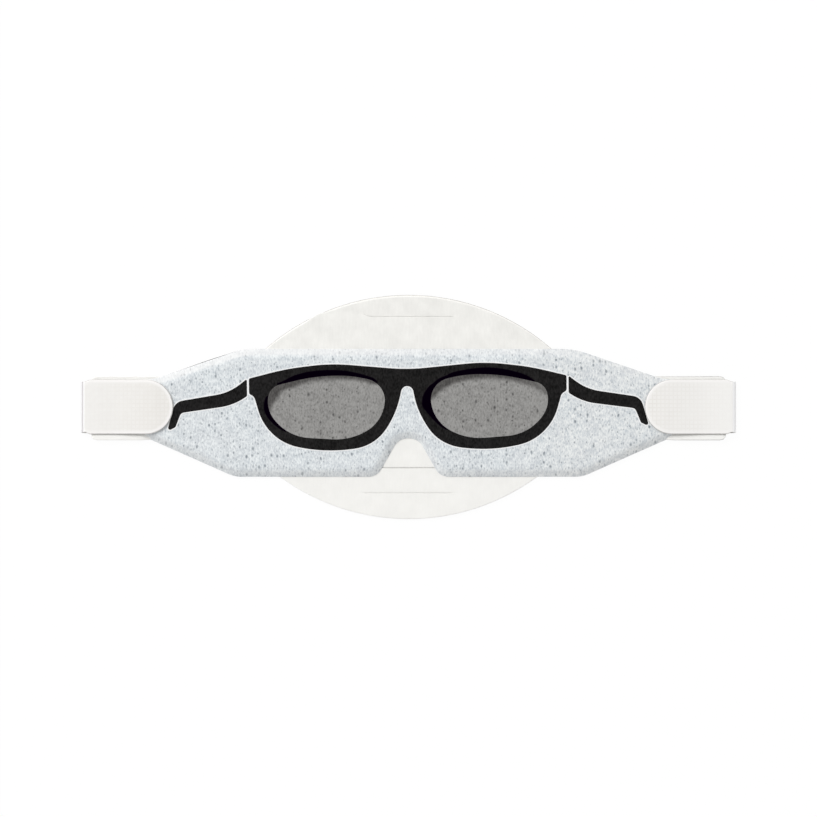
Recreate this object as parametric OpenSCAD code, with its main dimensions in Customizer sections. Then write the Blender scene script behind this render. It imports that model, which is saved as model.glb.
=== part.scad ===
// Eye shield for a newborn under treatment lights, lying flat: foam shade, headband and two hook tabs.
// Millimetres. X runs along the headband, Y towards its upper edge, Z up through the layers.
// The origin is at the centre of the flat back face.

/* [Headband] */
// Height of the headband across its wide centre
band_h = 64.8; // [62:0.1:70]
// Radius of the curved upper and lower edges of the wide centre
band_arc_r = 63.3; // [58:0.1:68]
// Length of the headband from end to end
band_l = 184.4; // [180:0.1:200]
// Height of the two straight arms
arm_h = 18.3; // [17.2:0.1:22]
// Fillet where the wide centre runs into an arm
arm_fillet_r = 6; // [2:0.5:10]
// Rounding of the end corners of the arms
arm_corner_r = 1.5; // [0.5:0.1:4]
// Thickness of the soft ply that lies against the head
soft_t = 0.8; // [0.6:0.1:2]

/* [Stretch slits] */
// Width of a slit at rest
slit_w = 0.5; // [0.3:0.1:1]
// Length of the two outer slits
outer_slit_l = 26; // [20:0.5:34]
// Length of the two inner slits
inner_slit_l = 37; // [26:0.5:44]
// Height of the upper outer slit above the centre line
upper_outer_y = 26.6; // [24:0.1:28]
// Height of the upper inner slit above the centre line
upper_inner_y = 16.6; // [14:0.1:18]
// Depth of the lower inner slit below the centre line
lower_inner_y = 17.5; // [15:0.1:19]
// Depth of the lower outer slit below the centre line
lower_outer_y = 24.9; // [22:0.1:28]

/* [Shade outline] */
// Height of the upper edge above the centre line
shade_top_y = 17.1; // [15:0.1:19]
// Depth of the lower edge below the centre line
shade_low_y = 20.1; // [18:0.1:22]
// Distance from the middle to where the upper edge starts to fall
top_shoulder_x = 48.1; // [46:0.1:54]
// Distance from the middle to where the lower edge starts to rise
low_shoulder_x = 50.5; // [46:0.1:54]
// Rounding of that upper shoulder
top_shoulder_r = 22; // [12:0.5:30]
// Rounding of that lower shoulder
low_shoulder_r = 9; // [5:0.5:16]
// Length of an end tongue along its upper edge
top_tongue_l = 14.7; // [12.5:0.1:20.5]
// Length of an end tongue along its lower edge
low_tongue_l = 11.5; // [9.5:0.1:18.5]
// Fillet at the upper root of a tongue
top_neck_r = 14; // [6:0.5:20]
// Fillet at the lower root of a tongue
low_neck_r = 16; // [6:0.5:20]
// Rounding of the corners of a tongue
tongue_corner_r = 5; // [2:0.1:5.5]
// Height of an end tongue at its root
tongue_root_h = 16.8; // [15:0.1:18]
// Height of an end tongue at its tip
tongue_tip_h = 14.4; // [13:0.1:15]
// Distance from the tip of a tongue to the end of the headband
tongue_setback = 3.7; // [2.5:0.1:6]

/* [Nose notch] */
// Height of the notch above the lower edge
notch_h = 11.2; // [8:0.1:13]
// Width of the notch at the lower edge, between its straight sides
notch_mouth_w = 18.3; // [14:0.1:24]
// Width of the notch at its crown, between its straight sides
notch_crown_w = 5.7; // [5.5:0.1:9]
// Radius of the crown
notch_crown_r = 4.7; // [3:0.1:4.8]
// Radius of the two lips at the lower edge
notch_lip_r = 3.3; // [2.6:0.1:5]

/* [Shade layers] */
// Thickness of the lining against the eyelids
lining_t = 0.3; // [0.2:0.1:1.2]
// Thickness of the opaque film
film_t = 0.1; // [0.05:0.05:0.4]
// Thickness of the speckled foam face
face_t = 1.2; // [0.9:0.1:3]
// Thickness of the face at its cut edge, where the die has pressed it
face_edge_t = 0.25; // [0.15:0.05:0.5]
// Thickness of the face where a tab holds it down
held_face_t = 0.4; // [0.3:0.05:0.8]
// Width of the rim over which the face thins to its cut edge
rim_w = 2.5; // [1:0.1:2.5]
// Distance from the print to where the face starts to thin under a tab
hold_gap = 3.2; // [0.3:0.1:4]
// Length over which it thins
hold_l = 12.5; // [8:0.5:14]

/* [Print] */
// Thickness of one layer of ink
ink_t = 0.06; // [0.03:0.01:0.15]
// Width of the white line round the black ink
keyline_w = 0.35; // [0.2:0.05:0.5]
// Turn of the print against the shade, in degrees
print_turn = 0.6; // [-1:0.05:1]
// Shift of the print along the shade
print_shift = -0.15; // [-1:0.05:1]
// Width of the frame front from end to end
front_w = 92.2; // [88:0.1:94]
// White gap between the frame front and a temple
temple_gap = 0.6; // [0.4:0.1:2]
// Distance from the tip of a temple to the end of the tongue it runs towards
temple_tip_in = 18.5; // [17:0.1:22]

/* [Hook tabs] */
// Width of the front leg of a tab
tab_w = 15.6; // [14:0.1:17]
// Thickness of the tab strip
tab_t = 0.25; // [0.2:0.05:0.5]
// Length of the front leg from its nose to the bend
front_leg_l = 25.2; // [20:0.1:26]
// Length of the rear leg from its end to the bend
rear_leg_l = 23.8; // [16:0.1:26]
// Inset of each side where the strip narrows at the bend
bend_inset = 0.4; // [0.2:0.1:1]
// Length over which it narrows
bend_inset_l = 1.2; // [0.6:0.1:2]
// Thickness of the adhesive between the rear leg and the headband
bond_t = 0.1; // [0.05:0.01:0.2]
// Margin of the adhesive inside the edges of the rear leg
bond_margin = 0.6; // [0.3:0.1:2]
// Space between the end of the headband and the start of the bend
wrap_clear = 1.6; // [0.1:0.05:2]
// Space between the brushed ply and the end of the rear leg
pocket_clear = 0.3; // [0.2:0.05:1]

/* [Hooks] */
// Height of a hook below the base of its strip
hook_h = 0.45; // [0.4:0.05:0.8]
// Width of a hook across the tab
hook_w = 0.25; // [0.2:0.05:0.4]
// Thickness of a hook's stem under its crown
stem_t = 0.15; // [0.1:0.01:0.2]
// Thickness of a hook's stem at its root
root_t = 0.26; // [0.2:0.01:0.4]
// Outer radius of a hook's crown
crown_r = 0.19; // [0.16:0.01:0.2]
// Length of the beak at the end of a crown
beak_l = 0.06; // [0.02:0.01:0.12]
// Distance from hook to hook along a row
hook_pitch = 1.3; // [1.1:0.1:2]
// Distance from row to row
row_pitch = 1.2; // [0.8:0.1:2]
// Margin of the strip inside the edge of the front leg
strip_margin = 0.5; // [0.3:0.1:1]
// Margin of the hooks inside the edge of the strip
hook_margin = 0.6; // [0.5:0.1:1.5]
// Thickness of the base of the strip
strip_t = 0.15; // [0.1:0.01:0.3]
// Length of the strip from its nose
strip_l = 19.4; // [16:0.1:21]
// Space between the hook tips and the face of the shade
hook_clear = 0.05; // [0.02:0.01:0.3]

/* [Hidden] */

$fn = 64;

// Heights of the layers above the back face
brushed_t = tab_t + bond_t;
soft_z = brushed_t;
lining_z = soft_z + soft_t;
film_z = lining_z + lining_t;
face_z = film_z + film_t;
print_z = face_z + face_t;
held_z = face_z + held_face_t;

// Rise from the face to the base of the hook strip, and to the front leg above it
strip_rise = hook_clear + hook_h;
flap_rise = strip_rise + strip_t;

// The bend of a tab: its top is flush with the front leg and its bottom with the back face
bend_r = (held_z + flap_rise + tab_t) / 2;
bend_x = band_l / 2 + wrap_clear;
bend_w = tab_w - 2 * bend_inset;

// Reaches along X from the middle
brushed_reach = bend_x - rear_leg_l - pocket_clear;
tongue_reach = band_l / 2 - tongue_setback;
temple_reach = tongue_reach - temple_tip_in;
nose_x = bend_x - front_leg_l;

// The top of the face from the middle to a bend, as [x, z]: flat, then down to the held part
hold_from = temple_reach + keyline_w + hold_gap;
hold_to = hold_from + hold_l;
face_line = [[0, print_z], [hold_from, print_z], [hold_to, held_z], [bend_x, held_z]];

// Curves are cut into steps of this many degrees, or of this many millimetres where that is finer
step_angle = 6;
chord_l = 1.5;
rim_steps = 5;
// Power of the curve of the rim: 1 is a plain bevel, and more makes it rounder
rim_curve = 1.5;
crown_facets = 24;
// The smallest radius that an inset leaves a corner
least_r = 0.05;
// How far a cutting shape reaches past what it cuts
over = 1;

// Corners of half an outline are [x, y, radius], from the middle of the upper edge round to the
// middle of the lower edge
function other_half(corners) =
  [for (i = [len(corners) - 1:-1:0]) if (corners[i].x > 0) [-corners[i].x, corners[i].y, corners[i][2]]];
function both_halves(corners) = concat(corners, other_half(corners));
function lower_quarter(corners) =
  [for (i = [len(corners) - 1:-1:0]) [corners[i].x, -corners[i].y, corners[i][2]]];
function flip(corners) = [for (i = [len(corners) - 1:-1:0]) [-corners[i].x, corners[i].y, corners[i][2]]];

function unit(v) = v / norm(v);
function bend_side(u, v) = sign(u.x * v.y - u.y * v.x);

// One rounded corner at b, between the edges to a and c, of an outline listed clockwise.
// grow moves the outline outwards by that much, or inwards where it is negative.
function corner_arc(a, b, c, radius, grow) =
  let(
    u = unit([a.x - b.x, a.y - b.y]),
    v = unit([c.x - b.x, c.y - b.y]),
    half = acos(u * v) / 2,
    outward = bend_side(u, v) > 0 ? 1 : -1,
    r = max(least_r, radius + outward * grow),
    middle = unit(u + v),
    at = [b.x, b.y] - middle * outward * grow / sin(half),
    centre = at + middle * r / sin(half),
    sweep = 180 - 2 * half,
    steps = max(3, ceil(max(sweep / step_angle, radius * sweep * PI / 180 / chord_l))),
    from = at + u * r / tan(half) - centre
  )
  [for (k = [0:steps])
    let(t = -outward * sweep * k / steps)
    centre + [from.x * cos(t) - from.y * sin(t), from.x * sin(t) + from.y * cos(t)]];

function outline(corners, grow = 0) =
  let(n = len(corners))
  [for (i = [0:n - 1])
    each corner_arc(corners[(i + n - 1) % n], corners[i], corners[(i + 1) % n], corners[i][2], grow)];

// The headband: the arc of the wide centre and the fillet share a tangent, which sets both corners
arc_y = band_h / 2 - band_arc_r;
tangent = acos((arm_h / 2 + arm_fillet_r - arc_y) / (band_arc_r + arm_fillet_r));
apex_y = arc_y + band_arc_r / cos(tangent);
throat_x = (apex_y - arm_h / 2) / tan(tangent);
band_quarter = [
  [0, apex_y, band_arc_r],
  [throat_x, arm_h / 2, arm_fillet_r],
  [band_l / 2, arm_h / 2, arm_corner_r]
];
band_corners = both_halves(concat(band_quarter, lower_quarter(band_quarter)));
slits = [
  [upper_outer_y, outer_slit_l], [upper_inner_y, inner_slit_l],
  [-lower_inner_y, inner_slit_l], [-lower_outer_y, outer_slit_l]
];

// The shade
shade_corners = both_halves([
  [top_shoulder_x, shade_top_y, top_shoulder_r],
  [tongue_reach - top_tongue_l, tongue_root_h / 2, top_neck_r],
  [tongue_reach, tongue_tip_h / 2, tongue_corner_r],
  [tongue_reach, -tongue_tip_h / 2, tongue_corner_r],
  [tongue_reach - low_tongue_l, -tongue_root_h / 2, low_neck_r],
  [low_shoulder_x, -shade_low_y, low_shoulder_r],
  [notch_mouth_w / 2, -shade_low_y, notch_lip_r],
  [notch_crown_w / 2, notch_h - shade_low_y, notch_crown_r]
]);

// The print: a plain pair of spectacles, right half of the frame front, right lens and right temple.
// Its corners are in hundredths of the width of the frame front.
hundredth = front_w / 100;
front_corners = both_halves(hundredth * [
  [0, 12, 59],
  [24.2, 14.2, 60],
  [38.3, 12.6, 79],
  [50, 9.7, 0.5],
  [50, 4.9, 1],
  [48.4, 4, 2.2],
  [46, -4.3, 16.4],
  [39.7, -11, 16.1],
  [26.2, -13.8, 50],
  [10.6, -12, 14.3],
  [3.5, -1.5, 31.5],
  [1.7, 6.8, 2]
]);
lens_corners = hundredth * [
  [18.1, 10.4, 39],
  [29.4, 10.2, 56],
  [43.4, 7, 4.7],
  [44.6, 0.3, 8.8],
  [38.5, -8.7, 14.9],
  [18.3, -10.1, 19.3],
  [8.1, -4.4, 11.8],
  [6.5, 7.7, 6.9]
];

// A temple starts at a gap from the frame front and ends at its own reach
temple_root = [front_w / 2 + temple_gap, 0, 0];
temple_tip = [temple_reach, 0, 0];
temple_corners = [
  temple_root + hundredth * [0, 9.6, 0.3],
  temple_root + hundredth * [5.5, 5.3, 16.8],
  temple_tip + hundredth * [-2.6, 2.6, 3.8],
  temple_tip + hundredth * [0, -6.7, 0.6],
  temple_tip + hundredth * [-2.6, -5.4, 0.8],
  temple_tip + hundredth * [-4.4, -0.9, 1.6],
  temple_root + hundredth * [4, 1.4, 18.3],
  temple_root + hundredth * [0, 4.2, 0.7]
];

module layer(z, t) {
  translate([0, 0, z]) linear_extrude(t) children();
}

module printed(z, t) {
  translate([print_shift, 0, 0]) rotate([0, 0, print_turn]) layer(z, t) children();
}

// Puts what is drawn for the right end at the left or the right end
module at_end(side) {
  mirror([side < 0 ? 1 : 0, 0, 0]) children();
}

// Stands a side view, drawn in x and z, across the headband over the width w
module across(w) {
  translate([0, w / 2, 0]) rotate([90, 0, 0]) linear_extrude(w) children();
}

// A side view of a strip of thickness t that runs at a rise above the face, from one x to another
module along_face(from, to, rise, t) {
  line = concat(
    [[from, lookup(from, face_line)]],
    [for (p = face_line) if (p.x > from && p.x < to) p],
    [[to, lookup(to, face_line)]]
  );
  polygon(concat(
    [for (p = line) [p.x, p.y + rise]],
    [for (i = [len(line) - 1:-1:0]) [line[i].x, line[i].y + rise + t]]
  ));
}

module slit_shapes() {
  for (s = slits) translate([-s[1] / 2, s[0] - slit_w / 2]) square([s[1], slit_w]);
}

module headband_face() {
  color("#f2f0ea") layer(0, brushed_t) difference() {
    intersection() {
      polygon(outline(band_corners));
      square([2 * brushed_reach, band_h + over], center = true);
    }
    slit_shapes();
  }
}

module headband_foam() {
  color("#f4f3f0") layer(soft_z, soft_t) difference() {
    polygon(outline(band_corners));
    slit_shapes();
  }
}

module shade_lining() {
  color("#eef0f2") layer(lining_z, lining_t) polygon(outline(shade_corners));
}

module shade_blackout_film() {
  color("#26282b") layer(film_z, film_t) polygon(outline(shade_corners));
}

// The foam face before the tabs press it: straight sides below, then a rim that curves in to the top
module face_pad() {
  rim = [for (k = [0:rim_steps])
    let(t = k / rim_steps) [rim_w * t, print_z - (face_t - face_edge_t) * pow(1 - t, rim_curve)]];
  rings = concat([[0, face_z]], rim);
  n = len(outline(shade_corners));
  points = [for (ring = rings) each [for (p = outline(shade_corners, -ring[0])) [p.x, p.y, ring[1]]]];
  last = (len(rings) - 1) * n;
  sides = [for (k = [0:len(rings) - 2], i = [0:n - 1])
    let(a = k * n + i, b = k * n + (i + 1) % n)
    each [[a, b, b + n], [a, b + n, a + n]]];
  bottom = [for (i = [n - 1:-1:0]) i];
  top = [for (i = [0:n - 1]) last + i];
  polyhedron(points, concat(sides, [bottom, top]));
}

// What a tab takes off the top of the face: a slope down to the held part, and all above that
module held_away() {
  slope = (print_z - held_z) / hold_l;
  polygon([
    [hold_from - over / slope, print_z + over], [hold_to, held_z],
    [bend_x + over, held_z], [bend_x + over, print_z + over]
  ]);
}

module shade_face() {
  color("#dce2e6") difference() {
    face_pad();
    for (side = [-1, 1]) at_end(side) across(band_h) held_away();
  }
}

module print_backing() {
  color("white") printed(print_z, ink_t) {
    polygon(outline(front_corners, keyline_w));
    for (corners = [temple_corners, flip(temple_corners)]) polygon(outline(corners, keyline_w));
  }
}

module frame_print() {
  color("#1e1e1f") printed(print_z + ink_t, ink_t) difference() {
    polygon(outline(front_corners));
    polygon(outline(lens_corners));
    polygon(outline(flip(lens_corners)));
  }
}

module lens_print(corners) {
  color("#919090") printed(print_z + ink_t, ink_t) polygon(outline(corners));
}

module temple_print(corners) {
  color("#1e1e1f") printed(print_z + ink_t, ink_t) polygon(outline(corners));
}

module left_lens_print() lens_print(flip(lens_corners));
module right_lens_print() lens_print(lens_corners);
module left_temple_print() temple_print(flip(temple_corners));
module right_temple_print() temple_print(temple_corners);

// A strip with a half-round nose, from the nose at x = from to a square end at x = to
module nosed_strip(from, to, w) {
  translate([from + w / 2, 0]) circle(d = w);
  translate([from + w / 2, -w / 2]) square([to - from - w / 2, w]);
}

module tab_anchor(side) {
  color("#f0eeea") at_end(side) layer(0, tab_t)
    translate([bend_x - rear_leg_l, -bend_w / 2]) square([rear_leg_l, bend_w]);
}

module tab_bond(side) {
  color("#d8d6cc") at_end(side) layer(tab_t, bond_t)
    translate([bend_x - rear_leg_l + bond_margin, -bend_w / 2 + bond_margin])
      square([band_l / 2 - bend_x + rear_leg_l - 2 * bond_margin, bend_w - 2 * bond_margin]);
}

module tab_fold(side) {
  color("#f0eeea") at_end(side) across(bend_w) translate([bend_x, bend_r]) difference() {
    circle(bend_r);
    circle(bend_r - tab_t);
    translate([-bend_r - over, -bend_r - over]) square([bend_r + over, 2 * (bend_r + over)]);
  }
}

// The front leg follows the face below it, and narrows to the width of the bend at its end
module tab_flap(side) {
  neck_x = bend_x - bend_inset_l;
  color("#f0eeea") at_end(side) intersection() {
    across(tab_w + over) along_face(nose_x, bend_x, flap_rise, tab_t);
    layer(0, print_z + flap_rise + tab_t + over) {
      nosed_strip(nose_x, neck_x, tab_w);
      polygon([
        [neck_x, -tab_w / 2], [bend_x, -bend_w / 2],
        [bend_x, bend_w / 2], [neck_x, tab_w / 2]
      ]);
    }
  }
}

// One hook, seen along Y: a stem that tapers down from the base and a crown that turns back up.
// Its root stands in the base to half the base's thickness.
module hook_profile() {
  crown_x = crown_r - stem_t / 2;
  crown_z = crown_r - hook_h;
  polygon([
    [-root_t / 2, strip_t / 2], [root_t / 2, strip_t / 2], [root_t / 2, 0],
    [stem_t / 2, crown_z], [-stem_t / 2, crown_z], [-root_t / 2, 0]
  ]);
  difference() {
    translate([crown_x, crown_z]) circle(crown_r, $fn = crown_facets);
    translate([crown_x, crown_z]) circle(crown_r - stem_t, $fn = crown_facets);
    translate([crown_x - 2 * crown_r, crown_z]) square([4 * crown_r, 2 * crown_r]);
  }
  translate([crown_x + crown_r - stem_t, crown_z]) square([stem_t, beak_l]);
}

// The moulded strip: rows of hooks that turn towards the nose and towards the bend by turns
module tab_hooks(side) {
  strip_x = nose_x + strip_margin;
  strip_w = tab_w - 2 * strip_margin;
  nose_r = strip_w / 2;
  field_w = strip_w - 2 * hook_margin;
  rows = floor(field_w / row_pitch);
  columns = floor((strip_l - 2 * hook_margin) / hook_pitch);
  color("#e9e8e2") at_end(side) {
    intersection() {
      across(strip_w + over) along_face(strip_x, strip_x + strip_l, strip_rise, strip_t);
      layer(0, print_z + flap_rise + over) nosed_strip(strip_x, strip_x + strip_l, strip_w);
    }
    for (j = [0:rows]) {
      y = (j - rows / 2) * row_pitch;
      first_x = strip_x + nose_r - sqrt(pow(nose_r - hook_margin, 2) - y * y);
      translate([0, y, 0]) across(hook_w) for (i = [0:columns]) {
        x = strip_x + strip_l - hook_margin - i * hook_pitch;
        if (x > first_x) translate([x, lookup(x, face_line) + strip_rise])
          mirror([j % 2, 0]) hook_profile();
      }
    }
  }
}

module left_tab_anchor() tab_anchor(-1);
module right_tab_anchor() tab_anchor(1);
module left_tab_bond() tab_bond(-1);
module right_tab_bond() tab_bond(1);
module left_tab_fold() tab_fold(-1);
module right_tab_fold() tab_fold(1);
module left_tab_flap() tab_flap(-1);
module right_tab_flap() tab_flap(1);
module left_tab_hooks() tab_hooks(-1);
module right_tab_hooks() tab_hooks(1);

headband_face();
headband_foam();
shade_lining();
shade_blackout_film();
shade_face();
print_backing();
frame_print();
left_lens_print();
right_lens_print();
left_temple_print();
right_temple_print();
left_tab_anchor();
right_tab_anchor();
left_tab_bond();
right_tab_bond();
left_tab_fold();
right_tab_fold();
left_tab_flap();
right_tab_flap();
left_tab_hooks();
right_tab_hooks();
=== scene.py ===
# Eye shield for a newborn, laid flat: a foam shade on a soft headband, closed at each end by a
# folded hook tab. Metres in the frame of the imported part; sizes are written in millimetres.

import math

import bmesh
import bpy
import numpy as np
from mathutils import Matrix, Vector, noise


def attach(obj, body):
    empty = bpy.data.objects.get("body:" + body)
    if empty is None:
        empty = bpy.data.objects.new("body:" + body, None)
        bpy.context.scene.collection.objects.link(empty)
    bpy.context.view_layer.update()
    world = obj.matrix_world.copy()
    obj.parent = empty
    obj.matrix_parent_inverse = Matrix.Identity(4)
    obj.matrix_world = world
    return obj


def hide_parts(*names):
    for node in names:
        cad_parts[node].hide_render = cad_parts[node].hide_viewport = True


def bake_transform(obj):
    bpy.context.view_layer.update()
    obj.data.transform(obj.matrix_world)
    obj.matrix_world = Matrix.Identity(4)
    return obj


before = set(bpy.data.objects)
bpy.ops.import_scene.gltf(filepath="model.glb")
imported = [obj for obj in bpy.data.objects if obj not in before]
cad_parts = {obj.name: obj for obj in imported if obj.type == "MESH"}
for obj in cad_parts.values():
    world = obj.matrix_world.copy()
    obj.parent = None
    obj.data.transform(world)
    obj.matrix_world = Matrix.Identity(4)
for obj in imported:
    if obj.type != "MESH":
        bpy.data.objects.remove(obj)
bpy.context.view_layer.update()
scene = bpy.context.scene
scene.view_settings.view_transform = "Standard"


# The camera looks straight down on the shield from far away, as a flat product is photographed.
# The photo is 237.3 mm wide at the shield, whose middle lies 0.23 mm above the middle of the photo.
photo_w, photo_middle_y, shield_z = 0.2373, -0.00023, 0.0025
camera = bpy.data.objects.new("camera", bpy.data.cameras.new("camera"))
scene.collection.objects.link(camera)
camera.data.sensor_width = 36
camera.data.lens = 135
away = photo_w * camera.data.lens / camera.data.sensor_width
camera.location = (0, photo_middle_y, shield_z + away)
camera.data.clip_start, camera.data.clip_end = 0.01, 10
scene.camera = camera


# The table is a sheet of matt white board. It lights the shield from below as card does; to the
# camera, most of its white is its own light, since the photo is bleached to plain white there.
def tone(hex_colour):
    """The linear colour of an sRGB hex value."""
    srgb = [int(hex_colour[i : i + 2], 16) / 255 for i in (1, 3, 5)]
    return (*[c / 12.92 if c <= 0.04045 else ((c + 0.055) / 1.055) ** 2.4 for c in srgb], 1)


def add(tree, kind, links=(), **settings):
    """Adds a node. links holds (input, value or socket) pairs; settings are the node's own."""
    node = tree.nodes.new(kind)
    for key, value in settings.items():
        setattr(node, key, value)
    for key, value in links:
        if isinstance(value, bpy.types.NodeSocket):
            tree.links.new(value, node.inputs[key])
        else:
            node.inputs[key].default_value = value
    return node


def blank_material(name):
    """A new node material with nothing in it but its output."""
    material = bpy.data.materials.new(name)
    material.use_nodes = True
    tree = material.node_tree
    tree.nodes.clear()
    return material, tree, tree.nodes.new("ShaderNodeOutputMaterial")


board, tree, output = blank_material("white_card_matt")
card = add(tree, "ShaderNodeBsdfDiffuse", [("Color", tone("#F4F4F4"))])
shade = add(tree, "ShaderNodeBsdfDiffuse", [("Color", tone("#383838"))])
glow = add(tree, "ShaderNodeEmission", [("Color", (1, 1, 1, 1)), ("Strength", 0.965)])
bleached = add(tree, "ShaderNodeAddShader", [(0, shade.outputs[0]), (1, glow.outputs[0])])
seen = add(tree, "ShaderNodeLightPath")
pick = add(
    tree,
    "ShaderNodeMixShader",
    [(0, seen.outputs["Is Camera Ray"]), (1, card.outputs[0]), (2, bleached.outputs[0])],
)
tree.links.new(pick.outputs[0], output.inputs["Surface"])

table_w, table_gap = 6, 0.00002
bpy.ops.mesh.primitive_plane_add(size=table_w, location=(0, 0, -table_gap))
table = bpy.context.object
table.name = "table"
table.data.materials.append(board)


# A white tent lights the shield from all round, brighter near the table than overhead. One distant
# softbox beyond the photo's upper left corner gives the light upper rims and the shadows under the
# tabs.
world = bpy.data.worlds.new("tent")
scene.world = world
world.use_nodes = True
tree = world.node_tree
tree.nodes.clear()
heading = add(tree, "ShaderNodeTexCoord").outputs["Generated"]
parts = add(tree, "ShaderNodeSeparateXYZ", [("Vector", heading)])
strength = add(
    tree, "ShaderNodeMapRange", [("Value", parts.outputs[2]), ("To Min", 0.94), ("To Max", 0.44)]
)
tent = add(
    tree, "ShaderNodeBackground", [("Color", (1, 1, 1, 1)), ("Strength", strength.outputs[0])]
)
white = add(tree, "ShaderNodeBackground", [("Color", (1, 1, 1, 1)), ("Strength", 1)])
seen = add(tree, "ShaderNodeLightPath")
mirrored = add(
    tree,
    "ShaderNodeMath",
    [(0, seen.outputs["Is Camera Ray"]), (1, seen.outputs["Is Transmission Ray"])],
    operation="MAXIMUM",
)
pick = add(
    tree,
    "ShaderNodeMixShader",
    [(0, mirrored.outputs[0]), (1, tent.outputs[0]), (2, white.outputs[0])],
)
add(tree, "ShaderNodeOutputWorld", [("Surface", pick.outputs[0])])

softbox = bpy.data.objects.new("softbox", bpy.data.lights.new("softbox", "AREA"))
scene.collection.objects.link(softbox)
softbox.data.shape = "RECTANGLE"
softbox.data.size, softbox.data.size_y = 1.5, 1.0
softbox.data.energy = 43.5
softbox.location = (-1.4, 1.45, 2.05)
softbox.rotation_euler = Vector(softbox.location).to_track_quat("Z", "Y").to_euler()


# The headband's soft ply is 0.8 mm white polyurethane foam with a creped skin, die-cut in one
# piece. It lies against the head; four slits through its wide centre let it open over the crown.
band_half_l, band_half_h, band_arc_r = 92.2, 32.4, 63.3
arm_half_h, arm_fillet_r, arm_corner_r = 9.15, 6.0, 1.5
soft_low, soft_high = 0.35, 1.15
outer_slit, inner_slit = 13.0, 18.5
# Each slit: its height, half its length and how far it stands open
slit_lines = [
    (26.5, outer_slit, 0.07),
    (16.6, inner_slit, 0.15),
    (-17.5, inner_slit, 0.15),
    (-24.8, outer_slit, 0.06),
]
# Rows of points run level as far as this from the middle, and in the last 1.9 mm follow the edge
level_rows, edge_rows = 27.4, 1.9
column_step, row_step = 1.1, 1.3


def thin_body(name, top, bottom, open_cells=None):
    """A closed thin piece between two grids of points in millimetres, seen from above as i along X
    and j along Y, or any turn of that. Cells marked open are cut through both."""
    columns, rows = top.shape[:2]
    shape = bmesh.new()
    upper = [[shape.verts.new(top[i, j] / 1000) for j in range(rows)] for i in range(columns)]
    lower = [[shape.verts.new(bottom[i, j] / 1000) for j in range(rows)] for i in range(columns)]
    below = {upper[i][j]: lower[i][j] for i in range(columns) for j in range(rows)}
    for i in range(columns - 1):
        for j in range(rows - 1):
            if open_cells is not None and open_cells[i, j]:
                continue
            shape.faces.new((upper[i][j], upper[i + 1][j], upper[i + 1][j + 1], upper[i][j + 1]))
            shape.faces.new((lower[i][j], lower[i][j + 1], lower[i + 1][j + 1], lower[i + 1][j]))
    for edge in [e for e in shape.edges if len(e.link_faces) == 1 and e.verts[0] in below]:
        a = edge.link_loops[0].vert
        b = edge.other_vert(a)
        shape.faces.new((b, a, below[a], below[b]))
    bmesh.ops.delete(shape, geom=[v for v in shape.verts if not v.link_faces], context="VERTS")
    mesh = bpy.data.meshes.new(name)
    shape.to_mesh(mesh)
    shape.free()
    mesh.polygons.foreach_set("use_smooth", [True] * len(mesh.polygons))
    mesh.set_sharp_from_angle(angle=math.radians(55))
    piece = bpy.data.objects.new(name, mesh)
    scene.collection.objects.link(piece)
    return piece


def band_edge(x):
    """Half the height of the headband at x: the arc of the wide centre, a fillet, then the arm."""
    arc_y = band_half_h - band_arc_r
    lean = math.acos((arm_half_h + arm_fillet_r - arc_y) / (band_arc_r + arm_fillet_r))
    fillet_x = (band_arc_r + arm_fillet_r) * math.sin(lean)
    x = abs(x)
    if x < band_arc_r * math.sin(lean):
        return arc_y + math.sqrt(band_arc_r**2 - x * x)
    if x < fillet_x:
        return arm_half_h + arm_fillet_r - math.sqrt(arm_fillet_r**2 - (fillet_x - x) ** 2)
    into = max(0, x - (band_half_l - arm_corner_r))
    return arm_half_h - arm_corner_r + math.sqrt(max(0, arm_corner_r**2 - into * into))


def fine_steps(start, end, step, at_start, at_end):
    """Values from start to end at most step apart, closer together near the ends named."""
    near = [0, 0.05, 0.15, 0.35, 0.7]
    first, last = start + near[-1], end - near[-1]
    count = max(1, round((end - start - 2 * near[-1]) / step))
    before = [start + d for d in near[:-1]] if at_start else [start]
    after = [end - d for d in near[-2::-1]] if at_end else [end]
    return before + list(np.linspace(first, last, count + 1)) + after


def band_columns(reach):
    """Places along the headband to the given reach, with one at each end of every slit."""
    stops = (0, outer_slit - 0.25, outer_slit, inner_slit)
    inner = sorted({s * x for s in (-1, 1) for x in stops})
    parts = fine_steps(-reach, -inner_slit, column_step, True, False)
    for a, b in zip(inner, inner[1:]):
        parts += list(np.linspace(a, b, max(1, round((b - a) / column_step)) + 1))
    parts += fine_steps(inner_slit, reach, column_step, False, True)
    return np.unique(np.round(parts, 4))


def band_rows():
    """Heights of the rows across the wide centre, with one at each wall of every slit."""
    walls = sorted(y + s * gap / 2 for y, _, gap in slit_lines for s in (-1, 1))
    stops = [-level_rows] + walls + [level_rows]
    rows = []
    for a, b in zip(stops, stops[1:]):
        if b - a < 1:
            rows += [a, b]
        else:
            rows += fine_steps(a, b, row_step, a > -level_rows, b < level_rows)
    return np.unique(np.round(rows, 4))


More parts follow.
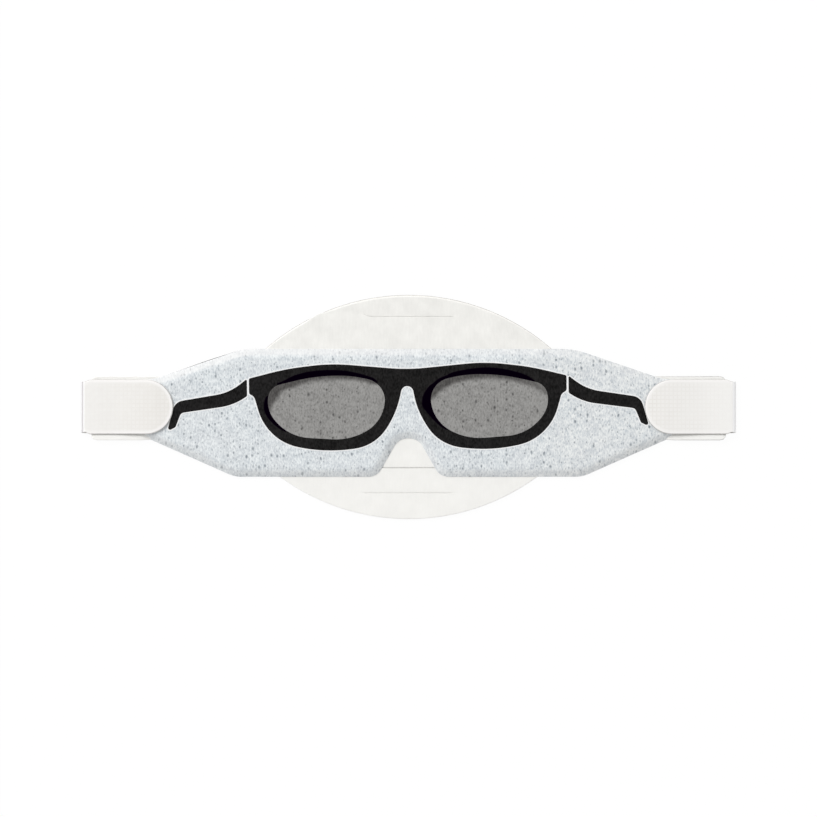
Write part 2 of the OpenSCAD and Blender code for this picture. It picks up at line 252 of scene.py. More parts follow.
def band_grid(reach):
    """The grid of places on a ply of the headband and the cells that its slits leave open."""
    xs, inner = band_columns(reach), band_rows()
    rim = [1.6, 0.7, 0.35, 0.15, 0.05, 0]
    grid = np.zeros((len(xs), len(inner) + 2 * len(rim), 2))
    full = band_edge(inner_slit) - edge_rows
    for i, x in enumerate(xs):
        edge = band_edge(x)
        squeeze = min(1, (edge - edge_rows) / full) if abs(x) > inner_slit else 1
        middle = inner * squeeze
        outer = [edge - d for d in rim]
        grid[i, :, 0] = x
        grid[i, :, 1] = [-y for y in reversed(outer)] + list(middle) + outer
    centres = (grid[:-1, :-1] + grid[1:, 1:]) / 2
    cut = np.zeros(centres.shape[:2], bool)
    for y, half_l, gap in slit_lines:
        cut |= (abs(centres[..., 1] - y) < gap / 2) & (abs(centres[..., 0]) < half_l)
    return grid, cut


def lie(grid):
    """How far the headband lifts off the table: a little at its free edges, and unevenly."""
    most, free_from, free_over = 0.22, 20, 12
    wave_l, wave_h, slice_at = 16, 9, 4.2
    lift = np.zeros(grid.shape[:2])
    for i, j in np.ndindex(lift.shape):
        x, y = grid[i, j]
        free = min(1, max(0, (abs(y) - free_from) / free_over))
        wave = noise.noise(Vector((x / wave_l, y / wave_h, slice_at))) + 0.5
        lift[i, j] = most * free * free * max(0, wave)
    return lift


def slit_lips(grid):
    """The foam rolls down into a slit on its upper side and stands up a little below it."""
    past_end = 0.8
    height = np.zeros(grid.shape[:2])
    for y, half_l, gap in slit_lines:
        along = np.clip((half_l + past_end - abs(grid[..., 0])) / past_end, 0, 1)
        off = grid[..., 1] - y
        from_wall = np.clip(abs(off) - gap / 2, 0, 9)
        rolled = 0.12 * np.exp(-from_wall / 0.3) * (off > 0)
        raised = (0.08 * np.exp(-from_wall / 0.4) - 0.12 * np.exp(-from_wall / 0.1)) * (off < 0)
        height += along * (raised - rolled)
    return height


def rolled_edge(distance, radius):
    """How far a cut edge of the given roundness falls at a distance in from it."""
    inside = 1 - np.clip(distance, 0, radius) / radius
    return radius * (1 - np.sqrt(np.clip(1 - inside * inside, 0, 1)))


def band_inset(grid, reach):
    """Distance in from the outer edge of a ply of the headband."""
    edge = np.array([[band_edge(x) for x in grid[:, 0, 0]]]).T
    return np.minimum(edge - abs(grid[..., 1]), reach - abs(grid[..., 0]))


def mark(piece, **marks):
    """Writes values at the grid points of a thin piece, alike above and below, for its finish."""
    for name, values in marks.items():
        points = piece.data.attributes.new(name, "FLOAT", "POINT")
        points.data.foreach_set("value", np.tile(values.ravel(), 2))


grid, cut = band_grid(band_half_l)
lift = lie(grid)
inset = band_inset(grid, band_half_l)
fall = rolled_edge(inset, 0.2)
# Below each tab the foam swells up and out beside the strip that holds it down
tab_x, tab_low_y, swell_up, swell_out = 74, -6.6, 0.95, 0.3
beside = np.clip((abs(grid[..., 0]) - tab_x) / 3, 0, 1)
squeezed = beside * np.clip((tab_low_y - grid[..., 1]) / 0.8, 0, 1)
height = soft_high + lift - fall + slit_lips(grid) + swell_up * squeezed
# The die has nicked the left end of the uppermost slit upwards
nick_x, nick_up = -11.4, 0.7
near_slit = np.clip(1 - abs(grid[..., 1] - slit_lines[0][0]) / 1.6, 0, 1)
nicked = near_slit * np.clip((nick_x - grid[..., 0]) / 1.2, 0, 1)
grid[..., 1] += nick_up * nicked - swell_out * squeezed
top = np.dstack([grid, height])
bottom = np.dstack([grid, soft_low + lift])
soft_ply = thin_body("headband_soft_ply", top, bottom, cut)
mark(soft_ply, beside_tab=beside, cut_in=inset)

# Foam with a creped skin: dull, faintly ribbed across the band at 0.6 mm, with fine open pores of
# 0.5 mm. It is painted a touch lighter towards its lower edge, and lighter still beside the tabs,
# where the painted light lifts the tabs' shadow. A fine pale line along its cut edge is a painted
# highlight; on the right arm that line is grey, painted shade.
foam, tree, output = blank_material("polyurethane_foam_creped")
place = add(tree, "ShaderNodeTexCoord").outputs["Object"]
along = add(tree, "ShaderNodeMapping", [("Vector", place), ("Scale", (1600, 330, 1600))])
crepe = add(tree, "ShaderNodeTexNoise", [("Vector", along.outputs[0]), ("Scale", 1), ("Detail", 3)])
blotch = add(tree, "ShaderNodeTexNoise", [("Vector", place), ("Scale", 240), ("Detail", 2)])
pores = add(tree, "ShaderNodeTexVoronoi", [("Vector", place), ("Scale", 2200)])
mixed = add(
    tree,
    "ShaderNodeMath",
    [(0, crepe.outputs["Fac"]), (1, 0.6), (2, blotch.outputs["Fac"])],
    operation="MULTIPLY_ADD",
)
spread = add(
    tree, "ShaderNodeMapRange", [("Value", mixed.outputs[0]), ("From Min", 0.5), ("From Max", 1.1)]
)
creped = add(
    tree,
    "ShaderNodeMix",
    [("Factor", spread.outputs[0]), (6, tone("#EEEDE9")), (7, tone("#F9F8F4"))],
    data_type="RGBA",
)
parts = add(tree, "ShaderNodeSeparateXYZ", [("Vector", place)])
# Painted light: lighter towards the lower edge and beside the tabs, where the tabs' shadow falls
lower = add(
    tree,
    "ShaderNodeMapRange",
    [("Value", parts.outputs[1]), ("From Min", 0.02), ("From Max", -0.02), ("To Max", 0.5)],
)
tab_zone = add(tree, "ShaderNodeAttribute", attribute_name="beside_tab")
pale = add(
    tree,
    "ShaderNodeMath",
    [(0, lower.outputs[0]), (1, tab_zone.outputs["Fac"])],
    operation="MAXIMUM",
)
painted_lighter = add(
    tree,
    "ShaderNodeMix",
    [("Factor", pale.outputs[0]), (6, creped.outputs[2]), (7, tone("#FCFBF8"))],
    data_type="RGBA",
)
# Painted highlight: a pale line along the cut edge, which is grey painted shade on the right arm
from_cut = add(tree, "ShaderNodeAttribute", attribute_name="cut_in")
near_cut = add(
    tree,
    "ShaderNodeMapRange",
    [("Value", from_cut.outputs["Fac"]), ("From Min", 0.04), ("From Max", 0.16)],
)
right_arm = add(
    tree,
    "ShaderNodeMapRange",
    [("Value", parts.outputs[0]), ("From Min", 0.06), ("From Max", 0.085)],
)
painted_edge_line = add(
    tree,
    "ShaderNodeMix",
    [("Factor", right_arm.outputs[0]), (6, tone("#FBFAF8")), (7, tone("#8F8D89"))],
    data_type="RGBA",
)
colour = add(
    tree,
    "ShaderNodeMix",
    [("Factor", near_cut.outputs[0]), (6, painted_edge_line.outputs[2]), (7, painted_lighter.outputs[2])],
    data_type="RGBA",
)
height = add(
    tree,
    "ShaderNodeMath",
    [(0, pores.outputs["Distance"]), (1, 0.35), (2, crepe.outputs["Fac"])],
    operation="MULTIPLY_ADD",
)
bump = add(
    tree,
    "ShaderNodeBump",
    [("Strength", 0.5), ("Distance", 0.00007), ("Height", height.outputs[0])],
)
shader = add(
    tree,
    "ShaderNodeBsdfPrincipled",
    [
        ("Base Color", colour.outputs[2]),
        ("Roughness", 0.92),
        ("IOR", 1.35),
        ("Normal", bump.outputs[0]),
    ],
)
tree.links.new(shader.outputs[0], output.inputs["Surface"])
soft_ply.data.materials.append(foam)

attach(soft_ply, "headband")
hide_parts("headband_foam")


# The headband's outer ply is brushed knit loop cloth, flame-laminated to the foam and cut with it.
# It lies underneath here, and peeps out 0.4 mm beyond the foam along the upper edge. The hook tabs'
# rear legs are bonded on where it stops short of the ends.
loop_half_l, loop_slip = 69.7, 0.42

grid, cut = band_grid(loop_half_l)
inset = band_inset(grid, loop_half_l)
fall = rolled_edge(inset, 0.15)
grid[..., 1] += loop_slip
lift = lie(grid)
top = np.dstack([grid, soft_low + lift - fall])
bottom = np.dstack([grid, lift + fall])
loop_ply = thin_body("headband_loop_ply", top, bottom, cut)
mark(loop_ply, cut_in=inset)

# Brushed nylon knit: a dull nap of 0.4 mm loops that lightens at a glancing angle, over 1.1 mm
# wales, and a grey line of painted shade along its cut edge
nap, tree, output = blank_material("nylon_knit_brushed")
place = add(tree, "ShaderNodeTexCoord").outputs["Object"]
curls = add(
    tree,
    "ShaderNodeTexNoise",
    [("Vector", place), ("Scale", 2600), ("Detail", 4), ("Distortion", 1.6)],
)
wales = add(
    tree,
    "ShaderNodeTexWave",
    [("Vector", place), ("Scale", 145), ("Distortion", 1.2), ("Detail", 2), ("Detail Scale", 3)],
    bands_direction="Y",
)
height = add(
    tree,
    "ShaderNodeMath",
    [(0, wales.outputs["Fac"]), (1, 0.3), (2, curls.outputs["Fac"])],
    operation="MULTIPLY_ADD",
)
napped = add(
    tree,
    "ShaderNodeMix",
    [("Factor", curls.outputs["Fac"]), (6, tone("#F0EEE8")), (7, tone("#FBFAF7"))],
    data_type="RGBA",
)
# Painted shade: a grey line along the cut edge
from_cut = add(tree, "ShaderNodeAttribute", attribute_name="cut_in")
near_cut = add(
    tree,
    "ShaderNodeMapRange",
    [("Value", from_cut.outputs["Fac"]), ("From Min", 0.06), ("From Max", 0.2)],
)
colour = add(
    tree,
    "ShaderNodeMix",
    [("Factor", near_cut.outputs[0]), (6, tone("#B9B7B2")), (7, napped.outputs[2])],
    data_type="RGBA",
)
bump = add(
    tree,
    "ShaderNodeBump",
    [("Strength", 0.8), ("Distance", 0.00012), ("Height", height.outputs[0])],
)
shader = add(
    tree,
    "ShaderNodeBsdfPrincipled",
    [
        ("Base Color", colour.outputs[2]),
        ("Roughness", 0.95),
        ("IOR", 1.4),
        ("Sheen Weight", 0.35),
        ("Sheen Roughness", 0.5),
        ("Normal", bump.outputs[0]),
    ],
)
tree.links.new(shader.outputs[0], output.inputs["Surface"])
loop_ply.data.materials.append(nap)

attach(loop_ply, "headband")
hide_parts("headband_face")


# The shade's lining is a soft white nonwoven, the ply that lies on the closed eyelids. It is
# laminated under the film and die-cut with the whole shade: nose notch below, a tongue at each end.
tongue_reach = 88.5
# Corners of the right half of the shade: x, y and radius, from the middle of the upper edge round
shade_half = [
    (48.1, 17.1, 22),
    (tongue_reach - 14.7, 8.4, 14),
    (tongue_reach, 7.2, 5),
    (tongue_reach, -7.2, 5),
    (tongue_reach - 11.5, -8.4, 16),
    (50.5, -20.1, 9),
    (9.15, -20.1, 4.4),
    (2.85, -8.9, 4.7),
]
lining_low, film_low, face_low, face_high = 1.15, 1.45, 1.55, 2.75
# The die presses a rim of this width down to a thin cut edge: the heights of the layers there, and
# how round the rim is, where 1 is a bevel
rim_w = 2.5
film_edge, face_edge, top_edge = 1.2, 1.22, 1.27
rim_power = 1.45


def rounded(corners):
    """An outline from its corners, each x, y and radius in millimetres, listed clockwise."""
    points = []
    for i, (x, y, radius) in enumerate(corners):
        b = np.array((x, y), float)
        u = np.array(corners[i - 1][:2]) - b
        v = np.array(corners[(i + 1) % len(corners)][:2]) - b
        u, v = u / np.linalg.norm(u), v / np.linalg.norm(v)
        half = math.acos(np.clip(u @ v, -1, 1)) / 2
        centre = b + (u + v) / np.linalg.norm(u + v) * radius / math.sin(half)
        spoke = b + u * radius / math.tan(half) - centre
        turn = (math.pi - 2 * half) * (1 if u[0] * v[1] - u[1] * v[0] < 0 else -1)
        for t in np.linspace(0, turn, 13):
            c, s = math.cos(t), math.sin(t)
            points.append(centre + [c * spoke[0] - s * spoke[1], s * spoke[0] + c * spoke[1]])
    return np.array(points)


def whole(half):
    """Both halves of an outline from the corners of its right half."""
    return half + [(-x, y, radius) for x, y, radius in reversed(half)]


def edge_distance(places, outline):
    """Distance of each place from an outline."""
    a, b = outline, np.roll(outline, -1, axis=0)
    best = np.full(places.shape[:-1], 1e9)
    for p, q in zip(a, b):
        along = q - p
        size = along @ along
        if size < 1e-12:
            continue
        t = np.clip(((places - p) @ along) / size, 0, 1)
        best = np.minimum(best, np.linalg.norm(places - p - t[..., None] * along, axis=-1))
    return best


shade_outline = rounded(whole(shade_half))
crown = shade_outline[shade_outline[:, 1] > 0]
crown = crown[np.argsort(crown[:, 0])]
foot = shade_outline[shade_outline[:, 1] < 0]
foot = foot[np.argsort(foot[:, 0])]


def shade_grid():
    """Places over the shade, closest together along its rim and round the nose notch."""
    near = [0, 0.06, 0.2, 0.45, 0.8, 1.25, 1.8, rim_w]
    past_rim, notch_x, full_h = 3.2, 13.6, 7
    wing_columns, notch_columns, flat_rows = 84, 69, 34
    left = [-tongue_reach + d for d in near]
    left += list(np.linspace(-tongue_reach + past_rim, -notch_x - 0.4, wing_columns))
    xs = left + list(np.linspace(-notch_x, notch_x, notch_columns)) + [-x for x in left[::-1]]
    grid = np.zeros((len(xs), len(near) * 2 + flat_rows, 2))
    for i, x in enumerate(xs):
        up, down = np.interp(x, crown[:, 0], crown[:, 1]), np.interp(x, foot[:, 0], foot[:, 1])
        scale = min(1, (up - down) / full_h)
        flat = np.linspace(down + past_rim * scale, up - past_rim * scale, flat_rows)
        lower_rim = [down + d * scale for d in near]
        upper_rim = [up - d * scale for d in near[::-1]]
        grid[i, :, 0] = x
        grid[i, :, 1] = lower_rim + list(flat) + upper_rim
    return grid


grid = shade_grid()
inset = edge_distance(grid, shade_outline)
rise = 1 - np.clip(inset, 0, rim_w) / rim_w
lining_top = film_low - (film_low - film_edge) * rise**rim_power
top = np.dstack([grid, lining_top])
bottom = np.dstack([grid, np.full(inset.shape, lining_low)])
lining = thin_body("shade_lining_ply", top, bottom)

# Spunlaced nonwoven: a soft dull felt of fine fibres in 0.7 mm tufts, with no weave
felt, tree, output = blank_material("viscose_nonwoven_spunlaced")
place = add(tree, "ShaderNodeTexCoord").outputs["Object"]
fibres = add(
    tree,
    "ShaderNodeTexNoise",
    [("Vector", place), ("Scale", 1500), ("Detail", 5), ("Distortion", 2.5)],
)
colour = add(
    tree,
    "ShaderNodeMix",
    [("Factor", fibres.outputs["Fac"]), (6, tone("#E6E9EB")), (7, tone("#F7F8F8"))],
    data_type="RGBA",
)
bump = add(
    tree,
    "ShaderNodeBump",
    [("Strength", 0.6), ("Distance", 0.00008), ("Height", fibres.outputs["Fac"])],
)
shader = add(
    tree,
    "ShaderNodeBsdfPrincipled",
    [
        ("Base Color", colour.outputs[2]),
        ("Roughness", 0.95),
        ("IOR", 1.4),
        ("Sheen Weight", 0.2),
        ("Normal", bump.outputs[0]),
    ],
)
tree.links.new(shader.outputs[0], output.inputs["Surface"])
lining.data.materials.append(felt)

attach(lining, "headband")
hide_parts("shade_lining")


# The blackout film is 0.1 mm of black polyethylene between lining and foam. It is what stops the
# treatment light, and shows only as a fine dark line where it creeps out of the upper left edge.
film_top = face_low - (face_low - face_edge) * rise**rim_power
creep_most, creep_x, creep_l = 0.14, -58.5, 6
creep = np.exp(-(((grid[..., 0] - creep_x) / creep_l) ** 2)) * (grid[..., 1] > 0)
creep = creep_most * rise * creep
spread = np.dstack([grid[..., 0], grid[..., 1] + creep])
film = thin_body("shade_film_ply", np.dstack([spread, film_top]), np.dstack([spread, lining_top]))

# Extruded polyethylene film, black filled: smooth with a soft shine and faint draw lines
black_film, tree, output = blank_material("polyethylene_film_black")
place = add(tree, "ShaderNodeTexCoord").outputs["Object"]
drawn = add(tree, "ShaderNodeMapping", [("Vector", place), ("Scale", (60, 2500, 2500))])
lines = add(tree, "ShaderNodeTexNoise", [("Vector", drawn.outputs[0]), ("Scale", 1), ("Detail", 2)])
colour = add(
    tree,
    "ShaderNodeMix",
    [("Factor", lines.outputs["Fac"]), (6, tone("#222427")), (7, tone("#2B2D31"))],
    data_type="RGBA",
)
bump = add(
    tree,
    "ShaderNodeBump",
    [("Strength", 0.2), ("Distance", 0.00002), ("Height", lines.outputs["Fac"])],
)
shader = add(
    tree,
    "ShaderNodeBsdfPrincipled",
    [
        ("Base Color", colour.outputs[2]),
        ("Roughness", 0.4),
        ("IOR", 1.51),
        ("Normal", bump.outputs[0]),
    ],
)
tree.links.new(shader.outputs[0], output.inputs["Surface"])
film.data.materials.append(black_film)

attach(film, "headband")
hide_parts("shade_blackout_film")


# The shade's face is 1.2 mm blue-white foam flecked with dark specks. The die presses it down to a
# thin white edge round a flat top that carries the print, and the tabs hold down both its tongues.
hold_from, hold_to, held_t = 73.55, 86.05, 0.4
straight = 0.6


def face_top(x):
    """Height of the face's top at a distance from the middle, before the die presses its edge."""
    t = np.clip((np.abs(x) - hold_from) / (hold_to - hold_from), 0, 1)
    slope = straight * t + (1 - straight) * t * t * (3 - 2 * t)
    return face_high - (face_high - face_low - held_t) * slope


rim = face_high - (face_high - top_edge) * rise**rim_power
top = np.dstack([grid, np.minimum(rim, face_top(grid[..., 0]))])
face = thin_body("shade_face_foam", top, np.dstack([grid, film_top]))
mark(face, pressed=rise)


def fleck_mask(tree, place, cell_mm, size, share):
    """How dark a fleck lies at each place: scattered, ragged and a little longer across the band.
    cell_mm is the mean spacing, size the reach in cells, share the part of the cells with one."""
    bent = add(tree, "ShaderNodeTexNoise", [("Vector", place), ("Scale", 2400), ("Detail", 2)])
    shift = add(
        tree,
        "ShaderNodeVectorMath",
        [(0, bent.outputs["Color"]), (1, (0.00035, 0.00035, 0)), (2, place)],
        operation="MULTIPLY_ADD",
    )
    longer = add(tree, "ShaderNodeMapping", [("Vector", shift.outputs[0]), ("Scale", (1, 0.7, 0))])
    cells = add(
        tree,
        "ShaderNodeTexVoronoi",
        [("Vector", longer.outputs[0]), ("Scale", 1000 / cell_mm)],
        voronoi_dimensions="2D",
    )
    chance = add(tree, "ShaderNodeSeparateColor", [("Color", cells.outputs["Color"])])
    reach = add(
        tree,
        "ShaderNodeMapRange",
        [
            ("Value", chance.outputs[0]),
            ("From Min", 1 - share),
            ("From Max", 1),
            ("To Min", 0.0),
            ("To Max", size),
        ],
    )
    return add(
        tree,
        "ShaderNodeMapRange",
        [
            ("Value", cells.outputs["Distance"]),
            ("From Min", 0),
            ("From Max", reach.outputs[0]),
            ("To Min", 1),
            ("To Max", 0),
        ],
        interpolation_type="SMOOTHSTEP",
    ).outputs[0]


def foam_pattern(tree, place):
    """The flecked foam: its ground of 0.9 mm streaks and its flecks, 0 to 1, and its relief."""
    drawn = add(tree, "ShaderNodeMapping", [("Vector", place), ("Scale", (2300, 1100, 1100))])
    streak = add(
        tree,
        "ShaderNodeTexNoise",
        [("Vector", drawn.outputs[0]), ("Scale", 1), ("Detail", 3), ("Roughness", 0.6)],
    )
    blotch = add(tree, "ShaderNodeTexNoise", [("Vector", place), ("Scale", 520), ("Detail", 3)])
    mixed = add(
        tree,
        "ShaderNodeMath",
        [(0, streak.outputs["Fac"]), (1, 2.4), (2, blotch.outputs["Fac"])],
        operation="MULTIPLY_ADD",
    )
    ground = add(
        tree,
        "ShaderNodeMapRange",
        [("Value", mixed.outputs[0]), ("From Min", 1.3), ("From Max", 2.1)],
    )
    large = fleck_mask(tree, place, cell_mm=1.8, size=0.34, share=0.4)
    small = fleck_mask(tree, place, cell_mm=0.9, size=0.48, share=0.55)
    flecks = add(
        tree,
        "ShaderNodeMath",
        [(0, small), (1, 0.6), (2, large)],
        operation="MULTIPLY_ADD",
        use_clamp=True,
    )
    relief = add(
        tree,
        "ShaderNodeMath",
        [(0, flecks.outputs[0]), (1, -0.8), (2, streak.outputs["Fac"])],
        operation="MULTIPLY_ADD",
    )
    return ground.outputs[0], flecks.outputs[0], relief.outputs[0]


# Closed-cell foam, blue-white: dull, streaked across the band, with ragged dark flecks in its skin.
# Its blue is fainter towards the right. Where the die has pressed it the blue and the flecks are
# fainter too; the pressed rim is painted lighter towards the upper left, a painted highlight where
# the light falls.
flecked, tree, output = blank_material("polyethylene_foam_flecked")
place = add(tree, "ShaderNodeTexCoord").outputs["Object"]
ground, flecks, relief = foam_pattern(tree, place)
tint = add(tree, "ShaderNodeTexNoise", [("Vector", place), ("Scale", 160), ("Detail", 1)])
dark = add(
    tree,
    "ShaderNodeMix",
    [("Factor", tint.outputs["Fac"]), (6, tone("#C3CCD2")), (7, tone("#CBCED2"))],
    data_type="RGBA",
)
parts = add(tree, "ShaderNodeSeparateXYZ", [("Vector", place)])
right_end = add(
    tree,
    "ShaderNodeMapRange",
    [("Value", parts.outputs[0]), ("From Min", 0.025), ("From Max", 0.045)],
)
light = add(
    tree,
    "ShaderNodeMix",
    [("Factor", right_end.outputs[0]), (6, tone("#F1F5F6")), (7, tone("#F3F5F4"))],
    data_type="RGBA",
)
body = add(
    tree,
    "ShaderNodeMix",
    [("Factor", ground), (6, dark.outputs[2]), (7, light.outputs[2])],
    data_type="RGBA",
)
speckled = add(
    tree,
    "ShaderNodeMix",
    [("Factor", flecks), (6, body.outputs[2]), (7, tone("#8A9299"))],
    data_type="RGBA",
)
# Painted highlight: the pressed rim is lighter, and more of it whitened, towards the upper left
upper_left = add(
    tree, "ShaderNodeVectorMath", [(0, place), (1, (-0.25, 1, 0))], operation="DOT_PRODUCT"
)
upper_left_light = add(
    tree,
    "ShaderNodeMapRange",
    [("Value", upper_left.outputs["Value"]), ("From Min", 0.0), ("From Max", 0.026)],
)
rim_tone_and_highlight = add(
    tree,
    "ShaderNodeMix",
    [("Factor", upper_left_light.outputs[0]), (6, tone("#E1E0DF")), (7, tone("#EFEEED"))],
    data_type="RGBA",
)
cover = add(
    tree, "ShaderNodeMapRange", [("Value", upper_left_light.outputs[0]), ("To Min", 0.25), ("To Max", 0.6)]
)
rim_part = add(tree, "ShaderNodeAttribute", attribute_name="pressed")
whitened = add(
    tree,
    "ShaderNodeMapRange",
    [("Value", rim_part.outputs["Fac"]), ("From Max", 0.5), ("To Max", cover.outputs[0])],
    interpolation_type="SMOOTHSTEP",
)
colour = add(
    tree,
    "ShaderNodeMix",
    [("Factor", whitened.outputs[0]), (6, speckled.outputs[2]), (7, rim_tone_and_highlight.outputs[2])],
    data_type="RGBA",
)
bump = add(tree, "ShaderNodeBump", [("Strength", 0.5), ("Distance", 0.00007), ("Height", relief)])
shader = add(
    tree,
    "ShaderNodeBsdfPrincipled",
    [
        ("Base Color", colour.outputs[2]),
        ("Roughness", 0.85),
        ("IOR", 1.4),
        ("Normal", bump.outputs[0]),
    ],
)
tree.links.new(shader.outputs[0], output.inputs["Surface"])
face.data.materials.append(flecked)

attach(face, "headband")
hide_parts("shade_face")


# The print is screened on in three passes: white first, then the black of a plain pair of dark
# glasses, then the grey of the lenses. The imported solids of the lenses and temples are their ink,
# and copies with one edge moved stand in for the white and for the black of the frame.
front_w = 92.2
print_turn, print_shift = math.radians(0.6), -0.15
lens_half = [
    (18.1, 10.4, 39),
    (29.4, 10.2, 56),
    (43.4, 7, 4.7),
    (44.6, 0.3, 8.8),
    (38.5, -8.7, 14.9),
    (18.3, -10.1, 19.3),
    (8.1, -4.4, 11.8),
    (6.5, 7.7, 6.9),
]
lens_corners = [tuple(value * front_w / 100 for value in corner) for corner in lens_half]
lens_outline = rounded(lens_corners)
lens_middle = np.array((23.4, 0.6))
lens_reach = 20.0


def coat(material, *nodes):
    """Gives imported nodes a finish."""
    for name in nodes:
        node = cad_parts[name]
        if not node.material_slots:
            node.data.materials.append(None)
        for held in node.material_slots:
            held.material = material


def outline_radius(angle):
    """Distance from the middle of the lens to its outline in one direction."""
    ray = np.array((math.cos(angle), math.sin(angle)))
    best = 0
    for p, q in zip(lens_outline, np.roll(lens_outline, -1, axis=0)):
        p, q = p - lens_middle, q - lens_middle
        side_p, side_q = ray[0] * p[1] - ray[1] * p[0], ray[0] * q[1] - ray[1] * q[0]
        if side_p * side_q <= 0 and side_p != side_q:
            hit = p + (q - p) * side_p / (side_p - side_q)
            if hit @ ray > 0:
                best = max(best, float(hit @ ray))
    return best


def dial(tree, turn, marks):
    """A number that changes smoothly round a lens, from pairs of degrees and a number."""
    least, span = -1, 4
    curve = add(tree, "ShaderNodeFloatCurve", [("Value", turn)])
    points = curve.mapping.curves[0].points
    for degrees, number in marks[1:-1]:
        points.new(degrees / 360 + 0.5, (number - least) / span)
    points[0].location = (0, (marks[0][1] - least) / span)
    points[-1].location = (1, (marks[-1][1] - least) / span)
    for point in points:
        point.handle_type = "AUTO_CLAMPED"
    curve.mapping.update()
    scaled = add(
        tree,
        "ShaderNodeMath",
        [(0, curve.outputs[0]), (1, span), (2, least)],
        operation="MULTIPLY_ADD",
    )
    return scaled.outputs[0]


def lens_place(tree, place, side):
    """Depth in millimetres inside one lens of the print, and the turn round its middle, 0 to 1."""
    print_place = add(
        tree,
        "ShaderNodeMapping",
        [
            ("Vector", place),
            ("Location", (-side * lens_middle[0] - print_shift, -lens_middle[1], 0)),
            ("Rotation", (0, 0, -print_turn)),
            ("Scale", (1000, 1000, 0)),
        ],
    )
    turns = []
    for flip in (side, 1):
        seen = add(
            tree,
            "ShaderNodeVectorMath",
            [(0, print_place.outputs[0]), (1, (flip, 1, 0))],
            operation="MULTIPLY",
        )
        parts = add(tree, "ShaderNodeSeparateXYZ", [("Vector", seen.outputs[0])])
        angle = add(
            tree,
            "ShaderNodeMath",
            [(0, parts.outputs[1]), (1, parts.outputs[0])],
            operation="ARCTAN2",
        )
        turn = add(
            tree,
            "ShaderNodeMapRange",
            [("Value", angle.outputs[0]), ("From Min", -math.pi), ("From Max", math.pi)],
        )
        turns.append(turn.outputs[0])
    reach = add(tree, "ShaderNodeFloatCurve", [("Value", turns[0])])
    points = reach.mapping.curves[0].points
    turns_at = [k / 48 for k in range(49)]
    radii = [outline_radius(2 * math.pi * (t - 0.5)) / lens_reach for t in turns_at]
    for t, radius in list(zip(turns_at, radii))[1:-1]:
        points.new(t, radius)
    points[0].location, points[-1].location = (0, radii[0]), (1, radii[-1])
    reach.mapping.update()
    away = add(tree, "ShaderNodeVectorMath", [(0, print_place.outputs[0])], operation="LENGTH")
    outer = add(
        tree, "ShaderNodeMath", [(0, reach.outputs[0]), (1, lens_reach)], operation="MULTIPLY"
    )
    inside = add(
        tree,
        "ShaderNodeMath",
        [(0, outer.outputs[0]), (1, away.outputs["Value"])],
        operation="SUBTRACT",
    )
    return inside.outputs[0], turns[1]


def ink_shader(tree, output, colour, relief, roughness, shine):
    """The skin of a screened ink: nearly flat, with the foam's grain showing through."""
    bump = add(
        tree, "ShaderNodeBump", [("Strength", 0.3), ("Distance", 0.00005), ("Height", relief)]
    )
    shader = add(
        tree,
        "ShaderNodeBsdfPrincipled",
        [
            ("Base Color", colour),
            ("Roughness", roughness),
            ("IOR", 1.48),
            ("Specular IOR Level", shine),
            ("Normal", bump.outputs[0]),
        ],
    )
    tree.links.new(shader.outputs[0], output.inputs["Surface"])


# White screen ink: opaque and matt, showing as a fine line round the black
white_ink, tree, output = blank_material("vinyl_ink_white")
place = add(tree, "ShaderNodeTexCoord").outputs["Object"]
ground, _, relief = foam_pattern(tree, place)
colour = add(
    tree,
    "ShaderNodeMix",
    [("Factor", ground), (6, tone("#F1F2F3")), (7, tone("#FBFBFB"))],
    data_type="RGBA",
)
ink_shader(tree, output, colour.outputs[2], relief, 0.7, 0.3)
coat(white_ink, "print_backing")

# The frame is drawn as if it had depth: how far its inner side is shaded round each lens, and how
# far its shadow reaches into the lens, in millimetres at angles round the middle of the lens
frame_shade = {
    -1: [
        (-180, 1.35), (-175, 1.45), (-165, 1.2), (-150, 0.5), (-138, -1), (8, -1),
        (30, 1.0), (60, 1.6), (105, 1.85), (120, 2.0), (135, 1.95), (142, 1.7),
        (148, 1.25), (155, 0.75), (160, -0.5), (166, -0.5), (170, 0.6), (175, 1.05),
        (180, 1.35),
    ],
    1: [
        (-180, 2.8), (-165, 1.2), (-150, 0.5), (-138, -1), (8, -1), (30, 0.95),
        (45, 1.95), (90, 2.05), (120, 1.8), (135, 1.75), (141, 1.55), (148, 1.15),
        (155, 1.15), (160, 1.45), (165, 1.85), (172, 2.4), (180, 2.8),
    ],
}
lens_shade = {
    -1: [
        (-180, 0.95), (-175, 0.3), (-168, -1), (16, -1), (30, 1.3), (60, 1.2),
        (110, 1.15), (120, 1.2), (130, 1.5), (140, 1.75), (147, 2.35), (155, 3.0),
        (163, 3.0), (170, 2.7), (176, 1.7), (180, 0.95),
    ],
    1: [
        (-180, -0.6), (-172, -1), (4, -1), (10, 0.8), (15, 1.7), (22, 2.4), (30, 2.1),
        (45, 1.25), (75, 1.15), (105, 1.35), (125, 1.8), (135, 2.0), (145, 2.6),
        (152, 2.85), (160, 2.45), (166, 1.8), (172, 0.8), (178, -0.5), (180, -0.6),
    ],
}

